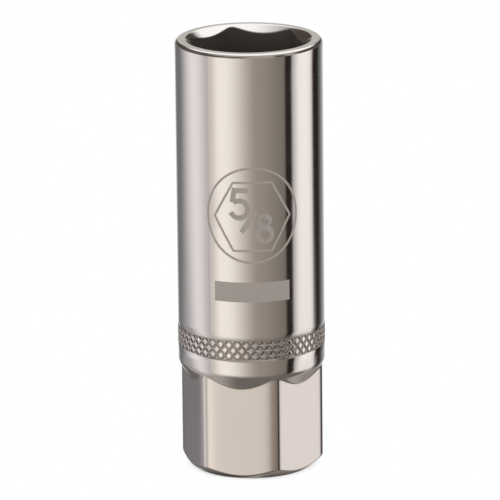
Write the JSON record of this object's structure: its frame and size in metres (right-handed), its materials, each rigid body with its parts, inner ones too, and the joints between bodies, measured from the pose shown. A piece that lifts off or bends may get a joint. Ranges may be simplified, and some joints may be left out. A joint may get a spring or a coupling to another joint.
{
  "type": "spark plug socket",
  "caption": "Chrome-plated deep hexagon socket for spark plugs, with a knurled band, a spanner hexagon round its square drive hole and a rubber sleeve in its bore.",
  "frame": {"origin": "on the socket's axis, at the drive face that it stands on", "axes": "+Z along the axis towards the plug opening; one flat of the drive-end hexagon and one side of the drive square face -Y"},
  "size_m": [0.022, 0.022, 0.065],
  "materials": {
    "polished_chrome": "polished",
    "black_rubber": "matte"
  },
  "bodies": {
    "root": {"socket_body": "polished_chrome", "rubber_insert": "black_rubber"}
  },
  "joints": []
}
